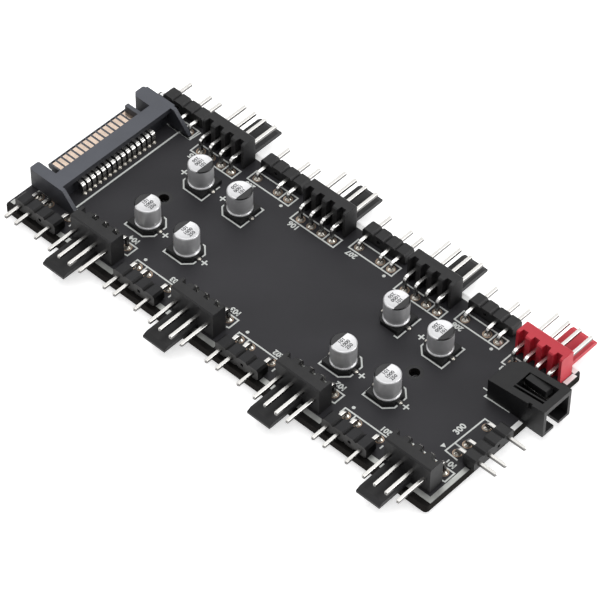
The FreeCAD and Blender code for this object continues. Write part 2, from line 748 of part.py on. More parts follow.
def cap_leads():
    """All capacitor leads: two flat strips in the groove under each base, joined in one group."""
    strips = []
    for index, (x, y, turn) in enumerate(cap_places()):
        for side in (-1, 1):
            strip = doc.addObject("Part::Box", f"Lead{index + 1}{'a' if side < 0 else 'b'}")
            strip.setExpression("Length", "Dim.cap_lead_reach - Dim.cap_lead_start")
            strip.setExpression("Width", "Dim.cap_lead_width")
            strip.setExpression("Height", "Dim.cap_lead_thick")
            start = "Dim.cap_lead_start" if side > 0 else "-Dim.cap_lead_reach"
            place(strip, f"{x} + {start}", f"{y} - Dim.cap_lead_width / 2", "0")
            strips.append(strip)
    group = doc.addObject("Part::Compound", "CapLeads")
    group.Links = strips
    return group


# Circuit board with every plated hole and the two plain tooling holes

def header_holes(body, name, centre, row, places, groups):
    sketch = new_sketch(body, name, "XY_Plane")
    for position in places:
        draw_octagon(sketch, f"{centre} + {plus_pitch(position)}", row, PIN_HOLE)
    cut = pocket(body, sketch, f"{name}Cut", "Dim.board_thick", reverse=True)
    pattern(body, cut, f"{name}Row", sketch, "H_Axis", LAST_GROUP, groups)


def circuit_board():
    body = new_body("Board")
    left = "-Dim.board_left"
    right = "Dim.board_right"
    front = "-Dim.board_front"
    back = "Dim.board_back"
    corner = "Dim.board_corner"
    plan = new_sketch(body, "BoardPlan", "XY_Plane")
    draw_loop(plan, [
        (f"{left} + {corner}", front),
        (f"{right} - {corner}", front, corner, 1),
        (right, f"{front} + {corner}"),
        (right, f"{back} - {corner}", corner, 1),
        (f"{right} - {corner}", back),
        (f"{left} + {corner}", back, corner, 1),
        (left, f"{back} - {corner}"),
        (left, f"{front} + {corner}", corner, 1),
    ])
    pad(body, plan, "BoardPad", "Dim.board_thick")

    header_holes(body, "FanFrontHoles", "0", "-Dim.fan_row", range(4), "Dim.groups")
    header_holes(body, "FanBackHoles", "Dim.back_shift", "Dim.fan_row", range(4), "Dim.groups")
    header_holes(body, "LightFrontHoles", "(-Dim.light_lead)", "-Dim.light_row", LIGHT_PINS, "Dim.groups")
    mirrored = [3 - position for position in LIGHT_PINS]
    header_holes(body, "LightBackHoles", "(Dim.back_shift - Dim.light_lead)", "Dim.light_row",
                 mirrored, "Dim.groups")

    single = new_sketch(body, "EndHoles", "XY_Plane")
    draw_circle(single, "0", "0", "Dim.tooling_bore")
    draw_circle(single, "Dim.tooling_spacing", "0", "Dim.tooling_bore")
    for position in LIGHT_PINS:
        draw_octagon(single, INPUT_ROW, f"Dim.input_centre + {plus_pitch(position)}", PIN_HOLE)
    for index in range(int(number("Dim.socket_pins"))):
        draw_octagon(single, SOCKET_ROW,
                     f"{SOCKET_CENTRE} + ({index} - (Dim.socket_pins - 1) / 2) * Dim.pin_pitch", PIN_HOLE)
    pocket(body, single, "EndHolesCut", "Dim.board_thick", reverse=True)

    tail = new_sketch(body, "ContactHole", "XY_Plane")
    first = "(Dim.contact_shift - (Dim.contacts - 1) / 2 * Dim.contact_pitch)"
    draw_octagon(tail, "-Dim.contact_row", first,
                 "sqrt(Dim.contact_width ^ 2 + Dim.contact_thick ^ 2) + 2 * Dim.hole_play")
    tail_cut = pocket(body, tail, "ContactHoleCut", "Dim.board_thick", reverse=True)
    pattern(body, tail_cut, "ContactHoles", tail, "V_Axis",
            "(Dim.contacts - 1) * Dim.contact_pitch", "Dim.contacts")
    return body


INPUT_ROW = "(Dim.board_right - Dim.input_row_inset)"
SOCKET_ROW = "(Dim.board_right + Dim.socket_mouth - Dim.socket_length + Dim.socket_tail_inset)"
SOCKET_CENTRE = "(Dim.socket_front + Dim.socket_width / 2)"

fan_housing = fan_housing_master()
fan_pins = pin_group_master("FanPins", "Dim.fan_pin_rise", "Dim.fan_pin_reach", range(4))
light_housing = light_housing_master()
light_pins = pin_group_master("LightPins", "Dim.light_tall / 2", "Dim.light_pin_reach", LIGHT_PINS)
cap_can = cap_can_master()
cap_base = cap_base_master()

own_part(circuit_board(), "circuit_board")
own_part(plug_housing(), "plug_housing", z=BOARD_TOP)
own_part(plug_contacts(), "plug_contacts", z=BOARD_TOP)
own_part(socket_housing(), "socket_housing", z=BOARD_TOP)
instance(socket_pins(), "socket_pins", SOCKET_ROW, SOCKET_CENTRE, BOARD_TOP, 90)

for index in range(int(number("Dim.groups"))):
    front_x = f"{index} * Dim.group_pitch"
    back_x = f"Dim.back_shift + {index} * Dim.group_pitch"
    for edge, x, sign, turn in (("front", front_x, "-", 0), ("back", back_x, "", 180)):
        label = f"{edge}_{index + 1}"
        instance(fan_housing, f"fan_header_{label}", x, f"{sign}Dim.fan_row", BOARD_TOP, turn)
        instance(fan_pins, f"fan_pins_{label}", x, f"{sign}Dim.fan_row", BOARD_TOP, turn)
        light_x = f"{x} - Dim.light_lead"
        instance(light_housing, f"light_header_{label}", light_x, f"{sign}Dim.light_row", BOARD_TOP, turn)
        instance(light_pins, f"light_pins_{label}", light_x, f"{sign}Dim.light_row", BOARD_TOP, turn)

instance(light_housing, "input_header", INPUT_ROW, "Dim.input_centre", BOARD_TOP, 90)
instance(light_pins, "input_pins", INPUT_ROW, "Dim.input_centre", BOARD_TOP, 90)

for index, (x, y, turn) in enumerate(cap_places()):
    instance(cap_can, f"capacitor_can_{index + 1}", x, y, BOARD_TOP, turn)
    instance(cap_base, f"capacitor_base_{index + 1}", x, y, BOARD_TOP, turn)
own_part(cap_leads(), "capacitor_leads", z=BOARD_TOP)

doc.recompute()

failed = [item.Name for item in doc.Objects if "Invalid" in item.State or "Error" in item.State]
if failed:
    raise RuntimeError(f"failed objects: {failed}")
for item in subparts:
    if item.Shape.isNull() or not item.Shape.isValid():
        raise RuntimeError(f"bad shape: {item.Label}")
for item in subparts:
    item.Shape.exportStep(f"parts/{item.Label}.step")
print(len(subparts), "sub-parts written")
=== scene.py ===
import math

import bmesh
import bpy
from mathutils import Matrix, Vector


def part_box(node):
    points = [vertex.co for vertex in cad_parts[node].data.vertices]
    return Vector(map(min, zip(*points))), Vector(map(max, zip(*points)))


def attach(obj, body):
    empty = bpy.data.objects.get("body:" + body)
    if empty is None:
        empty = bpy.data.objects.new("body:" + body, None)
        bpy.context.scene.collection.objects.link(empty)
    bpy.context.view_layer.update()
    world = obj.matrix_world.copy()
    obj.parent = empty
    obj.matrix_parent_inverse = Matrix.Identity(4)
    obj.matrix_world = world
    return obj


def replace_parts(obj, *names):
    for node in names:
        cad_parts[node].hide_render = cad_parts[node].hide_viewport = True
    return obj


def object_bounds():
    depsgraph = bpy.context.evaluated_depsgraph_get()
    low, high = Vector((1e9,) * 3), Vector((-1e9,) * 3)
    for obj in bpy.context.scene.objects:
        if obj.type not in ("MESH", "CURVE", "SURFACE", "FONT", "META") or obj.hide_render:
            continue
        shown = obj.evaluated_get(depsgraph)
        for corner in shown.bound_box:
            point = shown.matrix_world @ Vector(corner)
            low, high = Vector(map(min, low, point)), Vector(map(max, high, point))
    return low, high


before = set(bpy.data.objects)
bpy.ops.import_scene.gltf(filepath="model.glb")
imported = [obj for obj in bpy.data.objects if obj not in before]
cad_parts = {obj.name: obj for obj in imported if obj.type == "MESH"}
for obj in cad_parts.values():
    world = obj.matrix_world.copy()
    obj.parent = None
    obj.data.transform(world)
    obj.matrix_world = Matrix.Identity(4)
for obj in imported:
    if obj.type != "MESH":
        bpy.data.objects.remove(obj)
cad_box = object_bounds()

MM = 0.001
LIFT = 0.012  # printed and plated layers lie this far above what they are on, in mm
APART = 0.002  # surfaces that would otherwise share a plane lie this far apart, in mm
GROUPS = 4  # header groups along each long edge
CAPACITORS = 8


# Places read from the frame, in millimetres

def corners(node):
    low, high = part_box(node)
    return low / MM, high / MM


def centre(node):
    low, high = corners(node)
    return (low.x + high.x) / 2, (low.y + high.y) / 2


BOARD_LOW, BOARD_HIGH = corners("circuit_board")
TOP = BOARD_HIGH.z
PIN_PITCH = 2.54
PIN_SIDE = 0.64


# Node materials. Their coordinates are the object's own in metres, so a noise scale counts per metre.

def new_material(name):
    material = bpy.data.materials.new(name)
    material.use_nodes = True
    nodes = material.node_tree.nodes
    nodes.clear()
    output = nodes.new("ShaderNodeOutputMaterial")
    shader = nodes.new("ShaderNodeBsdfPrincipled")
    material.node_tree.links.new(shader.outputs["BSDF"], output.inputs["Surface"])
    return material, nodes, material.node_tree.links, shader


def noise(nodes, links, scale, detail, place):
    texture = nodes.new("ShaderNodeTexNoise")
    texture.inputs["Scale"].default_value = scale
    texture.inputs["Detail"].default_value = detail
    links.new(place, texture.inputs["Vector"])
    return texture.outputs["Fac"]


def ramp(nodes, links, value, stops):
    """Turn a value into colours: stops are (position, colour)."""
    node = nodes.new("ShaderNodeValToRGB")
    links.new(value, node.inputs["Fac"])
    elements = node.color_ramp.elements
    while len(elements) < len(stops):
        elements.new(0.5)
    for element, (position, colour) in zip(elements, stops):
        element.position = position
        element.color = (*colour, 1)
    return node.outputs["Color"]


def spread(nodes, links, value, low, high):
    """Stretch a value from 0 to 1 over a range of its own."""
    node = nodes.new("ShaderNodeMapRange")
    links.new(value, node.inputs["Value"])
    node.inputs["To Min"].default_value = low
    node.inputs["To Max"].default_value = high
    return node.outputs["Result"]


def blend_colours(nodes, links, factor, first, second):
    """The first colour or value where the factor is 0 and the second where it is 1."""
    mix = nodes.new("ShaderNodeMix")
    mix.data_type = "RGBA"
    links.new(factor, mix.inputs["Factor"])
    links.new(first, mix.inputs["A"])
    links.new(second, mix.inputs["B"])
    return mix.outputs["Result"]


def bump(nodes, links, shader, value, strength, distance, edge=0.0):
    """Fine relief, on normals that are rounded over the edges where an edge radius is given."""
    node = nodes.new("ShaderNodeBump")
    node.inputs["Strength"].default_value = strength
    node.inputs["Distance"].default_value = distance * MM
    links.new(value, node.inputs["Height"])
    if edge:
        bevel = nodes.new("ShaderNodeBevel")
        bevel.samples = 4
        bevel.inputs["Radius"].default_value = edge * MM
        links.new(bevel.outputs["Normal"], node.inputs["Normal"])
    links.new(node.outputs["Normal"], shader.inputs["Normal"])


def shade(colour, factor):
    return tuple(min(1, part * factor) for part in colour)


def tones(nodes, links, value, colour, contrast):
    """A colour that wanders between a darker and a lighter shade of itself."""
    stops = [(0.3, shade(colour, 1 - contrast)), (0.7, shade(colour, 1 + contrast))]
    return ramp(nodes, links, value, stops)


def facing(nodes, links, axis):
    """1 on faces square to one axis and 0 on faces along it."""
    parts = nodes.new("ShaderNodeSeparateXYZ")
    links.new(nodes.new("ShaderNodeNewGeometry").outputs["Normal"], parts.inputs["Vector"])
    share = nodes.new("ShaderNodeMath")
    share.operation = "ABSOLUTE"
    links.new(parts.outputs[axis], share.inputs[0])
    return share.outputs["Value"]


def fade_along(nodes, links, place, axis, start, end):
    """0 before the start and 1 past the end, which are in mm along one axis."""
    parts = nodes.new("ShaderNodeSeparateXYZ")
    links.new(place, parts.inputs["Vector"])
    fade = nodes.new("ShaderNodeMapRange")
    fade.inputs["From Min"].default_value = start * MM
    fade.inputs["From Max"].default_value = end * MM
    links.new(parts.outputs[axis], fade.inputs["Value"])
    return fade.outputs["Result"]


def surface(name, colour, roughness, metal=0.0, grain=900, mottle=120, contrast=0.12, relief=0.02,
            stretch=(1, 1, 1), specular=0.5, edge=0.0, walls=None, ends=None):
    """A moulded, printed or plated surface: fine grain in the relief, soft patches in the colour.

    Upright walls may get a lighter or darker colour that paints light or shade on them, and the ends,
    which look along the board, a darker one that paints shade on them.
    The relief and the radius of the softened edges are in mm.
    """
    material, nodes, links, shader = new_material(name)
    coordinate = nodes.new("ShaderNodeTexCoord")
    mapping = nodes.new("ShaderNodeMapping")
    mapping.inputs["Scale"].default_value = stretch
    links.new(coordinate.outputs["Object"], mapping.inputs["Vector"])
    place = mapping.outputs["Vector"]
    patches = noise(nodes, links, mottle, 3, place)
    fine = noise(nodes, links, grain, 2, place)
    base = tones(nodes, links, patches, colour, contrast)
    # Painted light and shade: upright faces take the walls tone and faces that look along x the darker
    # ends tone, chosen by which way they face
    if walls:
        side = tones(nodes, links, patches, walls, contrast)
        base = blend_colours(nodes, links, facing(nodes, links, "Z"), side, base)
    if ends:
        end = tones(nodes, links, patches, ends, contrast)
        base = blend_colours(nodes, links, facing(nodes, links, "X"), base, end)
    links.new(base, shader.inputs["Base Color"])
    links.new(spread(nodes, links, fine, roughness * 0.85, roughness * 1.15), shader.inputs["Roughness"])
    shader.inputs["Metallic"].default_value = metal
    shader.inputs["Specular IOR Level"].default_value = specular
    bump(nodes, links, shader, fine, 0.5, relief, edge)
    return material


def board_material():
    """Solder mask on both faces, bare and darker in front of the front strip, and plies on the sides."""
    material, nodes, links, shader = new_material("mask_black")
    place = nodes.new("ShaderNodeTexCoord").outputs["Object"]
    patches = noise(nodes, links, 60, 3, place)
    fine = noise(nodes, links, 1500, 2, place)
    mask = tones(nodes, links, patches, (0.0335, 0.0328, 0.0365), 0.08)
    bare = tones(nodes, links, patches, (0.0050, 0.0044, 0.0038), 0.08)
    mask = blend_colours(nodes, links, fade_along(nodes, links, place, "Y", -19.60, -19.70), mask, bare)
    plies = nodes.new("ShaderNodeTexWave")
    plies.bands_direction = "Z"
    plies.inputs["Scale"].default_value = 900
    plies.inputs["Distortion"].default_value = 1.5
    links.new(place, plies.inputs["Vector"])
    side = ramp(nodes, links, plies.outputs["Fac"],
                [(0.2, (0.0055, 0.0046, 0.0038)), (0.8, (0.0100, 0.0082, 0.0066))])
    level = facing(nodes, links, "Z")
    links.new(blend_colours(nodes, links, level, side, mask), shader.inputs["Base Color"])

    # Satin on both faces and dull on the sides
    satin = spread(nodes, links, fine, 0.42, 0.52)
    dull = spread(nodes, links, fine, 0.90, 1.00)
    links.new(blend_colours(nodes, links, level, dull, satin), shader.inputs["Roughness"])
    shader.inputs["Specular IOR Level"].default_value = 0.15
    bump(nodes, links, shader, fine, 0.3, 0.01)
    return material


def contact_material():
    """Plug contacts: gold where they mate, tin on the bends and tails behind the housing, with painted
    light on its level faces and painted shade on its upright ones.
    """
    material, nodes, links, shader = new_material("contact_plating")
    place = nodes.new("ShaderNodeTexCoord").outputs["Object"]
    patches = noise(nodes, links, 700, 3, place)
    fine = noise(nodes, links, 2500, 2, place)
    gold = tones(nodes, links, patches, (0.57, 0.455, 0.37), 0.14)
    # Painted light and shade: the same tin is bright on level faces and dark on upright faces, chosen by
    # which way they face
    bend = tones(nodes, links, patches, (0.92, 0.91, 0.88), 0.04)
    tail = tones(nodes, links, patches, (0.22, 0.21, 0.20), 0.10)
    tin = blend_colours(nodes, links, facing(nodes, links, "Z"), tail, bend)
    behind = fade_along(nodes, links, place, "X", -15.0, -13.5)
    links.new(blend_colours(nodes, links, behind, gold, tin), shader.inputs["Base Color"])
    links.new(spread(nodes, links, fine, 0.20, 0.32), shader.inputs["Roughness"])
    shader.inputs["Metallic"].default_value = 0.9
    bump(nodes, links, shader, fine, 0.4, 0.004)
    return material


def beyond(nodes, links, value, middle, inner, outer):
    """How far a value lies from its middle: 0 within the inner distance, 1 past the outer one, in mm."""
    away = nodes.new("ShaderNodeMath")
    away.operation = "SUBTRACT"
    away.inputs[1].default_value = middle * MM
    links.new(value, away.inputs[0])
    distance = nodes.new("ShaderNodeMath")
    distance.operation = "ABSOLUTE"
    links.new(away.outputs["Value"], distance.inputs[0])
    fade = nodes.new("ShaderNodeMapRange")
    fade.inputs["From Min"].default_value = inner * MM
    fade.inputs["From Max"].default_value = outer * MM
    links.new(distance.outputs["Value"], fade.inputs["Value"])
    return fade.outputs["Result"]


def outside(nodes, links, place, x_limits, y_limits):
    """0 inside a rectangle of the board's plane and 1 outside it.

    The limits on each axis are the middle, the inner and the outer distance that beyond takes.
    """
    parts = nodes.new("ShaderNodeSeparateXYZ")
    links.new(place, parts.inputs["Vector"])
    most = nodes.new("ShaderNodeMath")
    most.operation = "MAXIMUM"
    links.new(beyond(nodes, links, parts.outputs["X"], *x_limits), most.inputs[0])
    links.new(beyond(nodes, links, parts.outputs["Y"], *y_limits), most.inputs[1])
    return most.outputs["Value"]


def pin_material():
    """Tinned square pins, one plating painted in lit and shaded copies: bright on the level bends along
    the back, darker on those in front and on the ends, and dark, as painted shade, on the upright sides.
    """
    material, nodes, links, shader = new_material("tinned_pin")
    place = nodes.new("ShaderNodeTexCoord").outputs["Object"]
    patches = noise(nodes, links, 400, 3, place)
    fine = noise(nodes, links, 2500, 2, place)
    # Painted light: a bright copy of the tin on level faces inside the back rectangle, a darker copy in
    # front and at the ends
    bend = tones(nodes, links, patches, (0.88, 0.87, 0.85), 0.03)
    end = tones(nodes, links, patches, (0.58, 0.57, 0.55), 0.05)
    dull = outside(nodes, links, place, (31, 46.4, 47.4), (1.75, 14.25, 15.25))
    rolled = blend_colours(nodes, links, dull, bend, end)
    # Painted shade: upright faces take a dark copy of the tin
    cut = tones(nodes, links, patches, (0.19, 0.185, 0.18), 0.10)
    links.new(blend_colours(nodes, links, facing(nodes, links, "Z"), cut, rolled),
              shader.inputs["Base Color"])
    links.new(spread(nodes, links, fine, 0.20, 0.30), shader.inputs["Roughness"])
    shader.inputs["Metallic"].default_value = 0.95
    bump(nodes, links, shader, fine, 0.4, 0.004)
    return material


def floor_material():
    """A white floor that glows all round the board and stays dark beneath it."""
    material, nodes, links, shader = new_material("floor")
    place = nodes.new("ShaderNodeTexCoord").outputs["Object"]
    patches = noise(nodes, links, 3, 3, place)
    links.new(tones(nodes, links, patches, (0.90, 0.90, 0.90), 0.01), shader.inputs["Base Color"])
    links.new(spread(nodes, links, patches, 0.80, 0.95), shader.inputs["Roughness"])
    shader.inputs["Emission Color"].default_value = (1, 1, 1, 1)
    open_floor = outside(nodes, links, place, (31, 38, 45), (0, 10, 16))
    links.new(spread(nodes, links, open_floor, 0.0, 0.55), shader.inputs["Emission Strength"])
    return material


BOARD = board_material()
CONTACT = contact_material()
PIN = pin_material()
BLACK = surface("header_black", (0.0130, 0.0128, 0.0135), 0.50, contrast=0.25, specular=0.35,
                edge=0.10)
SOCKET = surface("socket_black", (0.0045, 0.0045, 0.0050), 0.42, contrast=0.2, specular=0.32,
                 edge=0.10)
BASE = surface("base_black", (0.0050, 0.0050, 0.0055), 0.45, contrast=0.2, specular=0.30, edge=0.06)
RED = surface("header_red", (0.50, 0.018, 0.035), 0.45, contrast=0.08, specular=0.45, edge=0.10)
# Front light headers: a slightly lighter copy of the header black, with painted light on its upright
# walls and painted shade on its faces that look along x
LOW_BLACK = surface("light_header_black", (0.0185, 0.0185, 0.0200), 0.55, contrast=0.25,
                    specular=0.25, edge=0.10, walls=(0.050, 0.049, 0.048),
                    ends=(0.0015, 0.0015, 0.0016))
# The plug's upright walls take a darker grey: painted shade
GREY = surface("plug_grey", (0.080, 0.085, 0.101), 0.50, contrast=0.08, specular=0.35, edge=0.10,
               walls=(0.034, 0.035, 0.041))
CAN = surface("can_aluminium", (0.67, 0.67, 0.68), 0.40, metal=0.65, contrast=0.05, relief=0.006,
              stretch=(1, 1, 12))
SILK = surface("silk_white", (0.62, 0.64, 0.62), 0.60, contrast=0.12, relief=0.006, specular=0.3)
SOLDER = surface("solder", (0.64, 0.61, 0.55), 0.28, metal=0.85, grain=700, mottle=900,
                 contrast=0.3, relief=0.05)
COPPER = surface("pad_ring", (0.34, 0.25, 0.185), 0.42, metal=0.7, grain=900, mottle=900,
                 contrast=0.3)
STRIP = surface("tin_strip", (0.45, 0.46, 0.44), 0.42, metal=0.5, grain=500, mottle=500, contrast=0.15,
                relief=0.03)
# A lighter copy of the tin strip that paints light on the back strips
TIN_PAINTED_LIT = surface("tin_painted_light", (0.92, 0.92, 0.91), 0.45, metal=0.1, grain=500, mottle=500, contrast=0.04,
                 relief=0.02)
KEEP = surface("mask_ring", (0.010, 0.010, 0.011), 0.40, contrast=0.2, specular=0.35)
INK = surface("print_black", (0.006, 0.006, 0.007), 0.30, contrast=0.2)
INK_GREY = surface("print_grey", (0.055, 0.055, 0.06), 0.50, contrast=0.2)
FLOOR = floor_material()


def give(node, material):
    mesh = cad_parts[node].data
    mesh.materials.clear()
    mesh.materials.append(material)


# Mesh helpers, in millimetres

def finish_piece(name, bm, material, smooth=False):
    """Make an object of a mesh that is in millimetres, and let it ride on the only body."""
    mesh = bpy.data.meshes.new(name)
    bmesh.ops.scale(bm, vec=(MM, MM, MM), verts=bm.verts)
    bm.to_mesh(mesh)
    bm.free()
    piece = bpy.data.objects.new(name, mesh)
    bpy.context.scene.collection.objects.link(piece)
    mesh.materials.append(material)
    if smooth:
        mesh.shade_smooth()
    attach(piece, "root")
    return piece


def add_polygon(bm, points, z):
    bm.faces.new([bm.verts.new((x, y, z)) for x, y in points])


def add_stroke(bm, points, width, z, closed=False):
    """A printed line of one width through the points, with mitred corners."""
    points = [Vector((x, y)) for x, y in points]
    count = len(points)
    sides = []
    for index, point in enumerate(points):
        before = points[index - 1] if index or closed else None
        after = points[(index + 1) % count] if index < count - 1 or closed else None
        into = (point - before).normalized() if before is not None else None
        out = (after - point).normalized() if after is not None else None
        into = into or out
        out = out or into
        normal = Vector((-into.y - out.y, into.x + out.x)).normalized()
        reach = width / 2 / max(normal.dot(Vector((-into.y, into.x))), 0.4)
        extend = Vector((0, 0))
        if not closed and index == 0:
            extend = -out * width / 2
        if not closed and index == count - 1:
            extend = into * width / 2
        sides.append((point + extend + normal * reach, point + extend - normal * reach))
    rows = [(bm.verts.new((a.x, a.y, z)), bm.verts.new((b.x, b.y, z))) for a, b in sides]
    spans = count if closed else count - 1
    for index in range(spans):
        a, b = rows[index]
        c, d = rows[(index + 1) % count]
        bm.faces.new((b, d, c, a))


def circle(x, y, radius, steps):
    return [(x + radius * math.cos(k * math.tau / steps), y + radius * math.sin(k * math.tau / steps))
            for k in range(steps)]


def add_disc(bm, x, y, radius, z, steps=20):
    add_polygon(bm, circle(x, y, radius, steps), z)


def add_ring(bm, x, y, inner, outer, z, steps=32):
    inside = [bm.verts.new((px, py, z)) for px, py in circle(x, y, inner, steps)]
    outside = [bm.verts.new((px, py, z)) for px, py in circle(x, y, outer, steps)]
    for k in range(steps):
        bm.faces.new((inside[k], outside[k], outside[(k + 1) % steps], inside[(k + 1) % steps]))


def add_lathe(bm, x, y, profile, steps=16):
    """Turn a list of (radius, z) about an upright axis at x, y. A radius of zero at an end closes it."""
    rings = []
    for radius, z in profile:
        if radius == 0:
            rings.append([bm.verts.new((x, y, z))] * steps)
        else:
            rings.append([bm.verts.new((px, py, z)) for px, py in circle(x, y, radius, steps)])
    for low, high in zip(rings, rings[1:]):
        for k in range(steps):
            after = (k + 1) % steps
            bm.faces.new(dict.fromkeys((low[k], low[after], high[after], high[k])))


def sharpen(bm, limit=35):
    """Smooth faces that stay crisp over every edge sharper than the limit in degrees."""
    for face in bm.faces:
        face.smooth = True
    for edge in bm.edges:
        edge.smooth = edge.calc_face_angle(math.pi) < math.radians(limit)


def add_bent_bar(bm, base, direction, low, rise, reach, width, thick, bend, cut, tip):
    """A bar of one rectangular section: up from low at its base, round one bend, and out to its tip.

    The bend is the radius inside it, the cut eases the long edges and the tip tapers the end.
    """
    out = Vector((*direction, 0))
    side = Vector((-direction[1], direction[0], 0))
    foot = Vector((*base, 0))
    radius = bend + thick / 2
    steps = 8
    # Each station is a place on the bar's middle line, the way its outer side looks, and its scale
    stations = [(foot + Vector((0, 0, low)), -out, 1.0),
                (foot + Vector((0, 0, rise - radius)), -out, 1.0)]
    for k in range(1, steps + 1):
        angle = k * math.pi / 2 / steps
        normal = Vector((0, 0, 1)) * math.sin(angle) - out * math.cos(angle)
        hub = foot + out * radius + Vector((0, 0, rise - radius))
        stations.append((hub + normal * radius, normal, 1.0))
    stations.append((foot + out * (reach - tip) + Vector((0, 0, rise)), Vector((0, 0, 1)), 1.0))
    stations.append((foot + out * reach + Vector((0, 0, rise)), Vector((0, 0, 1)), 1 - 2 * tip / thick))
    half_w = width / 2
    half_t = thick / 2
    section = [(half_w, half_t - cut), (half_w - cut, half_t),
               (-half_w + cut, half_t), (-half_w, half_t - cut),
               (-half_w, -half_t + cut), (-half_w + cut, -half_t),
               (half_w - cut, -half_t), (half_w, -half_t + cut)]
    rings = [[bm.verts.new(spot + side * a * (1 - (1 - scale) * thick / width) + normal * b * scale)
              for a, b in section] for spot, normal, scale in stations]
    for first, second in zip(rings, rings[1:]):
        for k in range(len(section)):
            after = (k + 1) % len(section)
            bm.faces.new((first[k], first[after], second[after], second[k]))
    bm.faces.new(rings[0][::-1])
    bm.faces.new(rings[-1])


# Header places, from the pins that stand in the board

def tail_places(node, positions, along=0):
    """Where the tails of a pin group go through the board, from its box and which places are filled."""
    low, high = corners(node)
    span = positions[-1] - positions[0]
    start = (low[along] + high[along]) / 2 - span * PIN_PITCH / 2
    return [start + (position - positions[0]) * PIN_PITCH for position in positions]


FAN_ROW = 13.1  # how far each row of pins stands from the board's long axis
LIGHT_ROW = 15.2
pin_feet = {}
for number in range(1, GROUPS + 1):
    for edge, side, light_places in (("front", -1, (0, 1, 3)), ("back", 1, (0, 2, 3))):
        node = f"fan_pins_{edge}_{number}"
        pin_feet[node] = [(x, side * FAN_ROW) for x in tail_places(node, (0, 1, 2, 3))], (0, side)
        node = f"light_pins_{edge}_{number}"
        pin_feet[node] = [(x, side * LIGHT_ROW) for x in tail_places(node, light_places)], (0, side)
for node, places in (("input_pins", (0, 1, 3)), ("socket_pins", (0, 1))):
    x = corners(node)[0].x + PIN_SIDE / 2
    pin_feet[node] = [(x, y) for y in tail_places(node, places, along=1)], (1, 0)
joints = [foot for node, (feet, direction) in pin_feet.items() for foot in feet if node != "socket_pins"]
socket_joints = pin_feet["socket_pins"][0]

contact_low, contact_high = corners("plug_contacts")
CONTACT_PITCH = 1.27
CONTACT_THICK = 0.25
CONTACTS = 15
contact_x = contact_high.x - CONTACT_THICK / 2
contact_middle = (contact_low.y + contact_high.y) / 2
contact_joints = [(contact_x, contact_middle + (k - (CONTACTS - 1) / 2) * CONTACT_PITCH)
                  for k in range(CONTACTS)]


def pin_piece(node, feet, direction):
    """The pins of one header with round bends and eased edges, in the place of their solids."""
    low, high = corners(node)
    bm = bmesh.new()
    for x, y in feet:
        if direction[0]:
            reach = high.x - x
        else:
            reach = high.y - y if direction[1] > 0 else y - low.y
        add_bent_bar(bm, (x, y), direction, low.z, high.z - PIN_SIDE / 2, reach, PIN_SIDE, PIN_SIDE,
                     bend=0.45, cut=0.05, tip=0.18)
    bmesh.ops.recalc_face_normals(bm, faces=bm.faces)
    sharpen(bm)
    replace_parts(finish_piece(f"{node}_bent", bm, PIN), node)


def contact_piece():
    """The plug's contacts with round bends. Their gold ends stop a little short of the tongue's end."""
    bm = bmesh.new()
    width = 0.85
    margin = 0.3
    for x, y in contact_joints:
        add_bent_bar(bm, (x, y), (-1, 0), contact_low.z, contact_high.z - CONTACT_THICK / 2,
                     x - contact_low.x - margin, width, CONTACT_THICK, bend=0.55, cut=0.03, tip=0.05)
    bmesh.ops.recalc_face_normals(bm, faces=bm.faces)
    sharpen(bm)
    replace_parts(finish_piece("plug_contacts_bent", bm, CONTACT), "plug_contacts")


def solder_pieces():
    """Pad rings, the joints on both faces, and a blob on each capacitor lead. The lean varies them."""
    lead_reach = 2.98
    pads = bmesh.new()
    fillets = bmesh.new()
    under = bmesh.new()
    for index, (x, y) in enumerate(joints):
        lean = 0.94 + 0.06 * math.sin(index * 2.3)
        add_lathe(pads, x, y, [(0, TOP + APART), (0.90, TOP + APART), (0.88, TOP + LIFT),
                               (0, TOP + LIFT)], 20)
        add_lathe(fillets, x, y, [(0, TOP + LIFT), (0.80 * lean, TOP + LIFT), (0.66, TOP + 0.10),
                                  (0.50, TOP + 0.22 * lean), (0.40, TOP + 0.42 * lean),
                                  (0.34, TOP + 0.46 * lean), (0, TOP + 0.46 * lean)])
    for index, (x, y) in enumerate(joints + socket_joints):
        lean = 0.92 + 0.08 * math.sin(index * 1.7)
        add_lathe(under, x, y, [(0, -0.86 * lean), (0.30, -0.86 * lean), (0.42, -0.80 * lean),
                                (0.52, -0.45), (0.72, -0.16), (0.92, -0.03), (0.95, -0.001),
                                (0, -0.001)])
    for index, (x, y) in enumerate(contact_joints):
        lean = 0.92 + 0.08 * math.sin(index * 2.9)
        add_lathe(fillets, x, y, [(0, TOP + LIFT), (0.56, TOP + LIFT), (0.46, TOP + 0.10),
                                  (0.42, TOP + 0.30 * lean), (0.30, TOP + 0.40 * lean),
                                  (0, TOP + 0.40 * lean)], 14)
        add_lathe(under, x, y, [(0, -0.80 * lean), (0.30, -0.80 * lean), (0.46, -0.45), (0.56, -0.10),
                                (0.58, -0.001), (0, -0.001)], 14)
    for number in range(1, CAPACITORS + 1):
        x, y = centre(f"capacitor_base_{number}")
        for side in (-1, 1):
            add_lathe(fillets, x + side * lead_reach, y,
                      [(0, TOP + LIFT), (0.44, TOP + LIFT), (0.38, TOP + 0.14), (0.24, TOP + 0.24),
                       (0, TOP + 0.27)], 14)
    finish_piece("pads_top", pads, COPPER)
    finish_piece("solder_top", fillets, SOLDER, smooth=True)
    finish_piece("solder_under", under, SOLDER, smooth=True)


def plus_side(number):
    """Which way along the board a capacitor's plus mark lies."""
    return 1 if number in (3, 4, 7, 8) else -1


LINE = 0.30  # width of the printed lines


